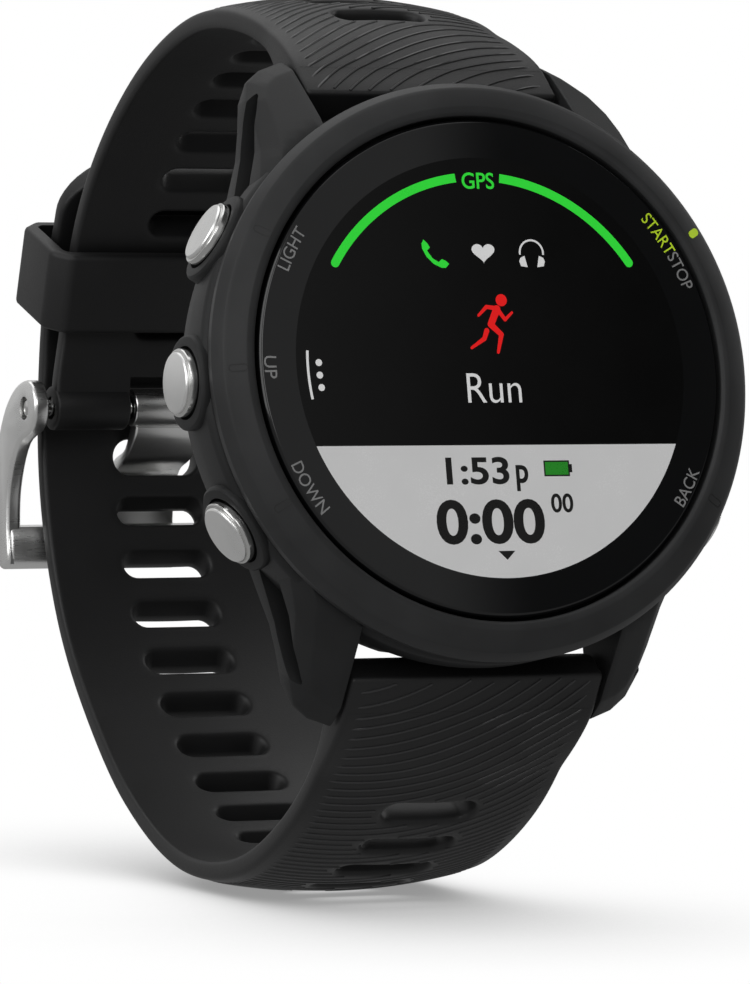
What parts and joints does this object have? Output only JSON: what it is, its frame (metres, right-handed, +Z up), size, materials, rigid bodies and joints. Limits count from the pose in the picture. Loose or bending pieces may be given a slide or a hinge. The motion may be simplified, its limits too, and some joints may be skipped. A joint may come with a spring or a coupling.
{
  "type": "gps running watch",
  "caption": "Round GPS running watch with metal push buttons on its sides, buckled on a slotted silicone strap with pin buckle and keeper, standing on its strap loop.",
  "frame": {"origin": "middle of the footprint, on the surface that the strap loop stands on", "axes": "+X towards the dial's 3 o'clock, +Z up, +Y from the dial to the back of the loop; the dial faces -Y and is tilted up by 12 degrees"},
  "size_m": [0.0468, 0.0772, 0.0728],
  "materials": {
    "case_polymer": "fine matte black fibre-reinforced polymer",
    "bezel_polymer": "satin black moulded polymer",
    "glass": "polished chemically strengthened glass",
    "display": "dark transflective display",
    "sensor_glass": "polished dark window",
    "silicone": "soft matte black silicone",
    "steel": "satin stainless steel",
    "seal_rubber": "black seal rubber",
    "switch_plastic": "black moulded plastic",
    "battery_foil": "foil-wrapped cell",
    "gold": "gold-plated contact",
    "circuit_board": "green solder mask"
  },
  "bodies": {
    "case": {"bezel": "bezel_polymer", "glass_lens": "glass", "lens_gasket": "seal_rubber", "display_panel": "display", "mid_case": "case_polymer", "inner_chassis": "case_polymer", "battery": "battery_foil", "vibration_motor": "steel", "gps_antenna": "gold", "main_board": "circuit_board", "beeper": "gold", "back_gasket": "seal_rubber", "back_cover": "case_polymer", "sensor_board": "circuit_board", "sensor_window": "sensor_glass", "case_screw_1": "steel", "case_screw_2": "steel", "case_screw_3": "steel", "case_screw_4": "steel", "charging_contact_1": "gold", "charging_contact_2": "gold", "charging_contact_3": "gold", "charging_contact_4": "gold", "button_light_seal": "seal_rubber", "button_up_seal": "seal_rubber", "button_down_seal": "seal_rubber", "button_start_seal": "seal_rubber", "button_back_seal": "seal_rubber", "button_light_switch": "switch_plastic", "button_up_switch": "switch_plastic", "button_down_switch": "switch_plastic", "button_start_switch": "switch_plastic", "button_back_switch": "switch_plastic"},
    "button_light": {"button_light": "steel", "button_light_clip": "steel"},
    "button_up": {"button_up": "steel", "button_up_clip": "steel"},
    "button_down": {"button_down": "steel", "button_down_clip": "steel"},
    "button_start": {"button_start": "steel", "button_start_clip": "steel"},
    "button_back": {"button_back": "steel", "button_back_clip": "steel"},
    "strap_upper": {"strap_upper": "silicone", "buckle_pin": "steel", "spring_bar_upper": "steel"},
    "strap_lower": {"strap_lower": "silicone", "spring_bar_lower": "steel"},
    "release_pin_upper": {"release_pin_upper": "steel"},
    "release_pin_lower": {"release_pin_lower": "steel"},
    "keeper": {"keeper": "silicone"},
    "buckle_frame": {"buckle_frame": "steel"},
    "buckle_tongue": {"buckle_tongue": "steel"}
  },
  "joints": [
    {"name": "button_light_press", "type": "slide", "parent": "case", "child": "button_light", "axis": [0.866, -0.104, -0.4891], "range_m": [0, 0.0006], "stiffness_N_per_m": 1500},
    {"name": "button_up_press", "type": "slide", "parent": "case", "child": "button_up", "axis": [1, 0, 0], "range_m": [0, 0.0006], "stiffness_N_per_m": 1500},
    {"name": "button_down_press", "type": "slide", "parent": "case", "child": "button_down", "axis": [0.866, 0.104, 0.4891], "range_m": [0, 0.0006], "stiffness_N_per_m": 1500},
    {"name": "button_start_press", "type": "slide", "parent": "case", "child": "button_start", "axis": [-0.866, -0.104, -0.4891], "range_m": [0, 0.0006], "stiffness_N_per_m": 1500},
    {"name": "button_back_press", "type": "slide", "parent": "case", "child": "button_back", "axis": [-0.866, 0.104, 0.4891], "range_m": [0, 0.0006], "stiffness_N_per_m": 1500},
    {"name": "strap_lower_hinge", "type": "hinge", "parent": "case", "child": "strap_lower", "pos_m": [0.00055, -0.02966, 0.01887], "axis": [1, 0, 0], "range_deg": [-0.2, 0.2]},
    {"name": "strap_upper_hinge", "type": "hinge", "parent": "case", "child": "strap_upper", "pos_m": [0.00055, -0.01997, 0.06445], "axis": [1, 0, 0], "range_deg": [-0.2, 0.2]},
    {"name": "release_pin_upper_slide", "type": "slide", "parent": "strap_upper", "child": "release_pin_upper", "axis": [1, 0, 0], "range_m": [0, 0.0015], "stiffness_N_per_m": 400},
    {"name": "release_pin_lower_slide", "type": "slide", "parent": "strap_lower", "child": "release_pin_lower", "axis": [1, 0, 0], "range_m": [0, 0.0015], "stiffness_N_per_m": 400},
    {"name": "keeper_slide", "type": "slide", "parent": "strap_upper", "child": "keeper", "axis": [0, 0.3082, -0.9513], "range_m": [-0.001, 0.001]},
    {"name": "buckle_frame_hinge", "type": "hinge", "parent": "strap_upper", "child": "buckle_frame", "pos_m": [0.00055, 0.03122, 0.03834], "axis": [1, 0, 0], "range_deg": [0, 4]},
    {"name": "buckle_tongue_hinge", "type": "hinge", "parent": "strap_upper", "child": "buckle_tongue", "pos_m": [0.00055, 0.03122, 0.03834], "axis": [1, 0, 0], "range_deg": [0, 4]}
  ],
  "couplings": [
    {"joint": "strap_upper_hinge", "follows": "strap_lower_hinge", "ratio": 1},
    {"joint": "buckle_tongue_hinge", "follows": "buckle_frame_hinge", "ratio": 1}
  ]
}
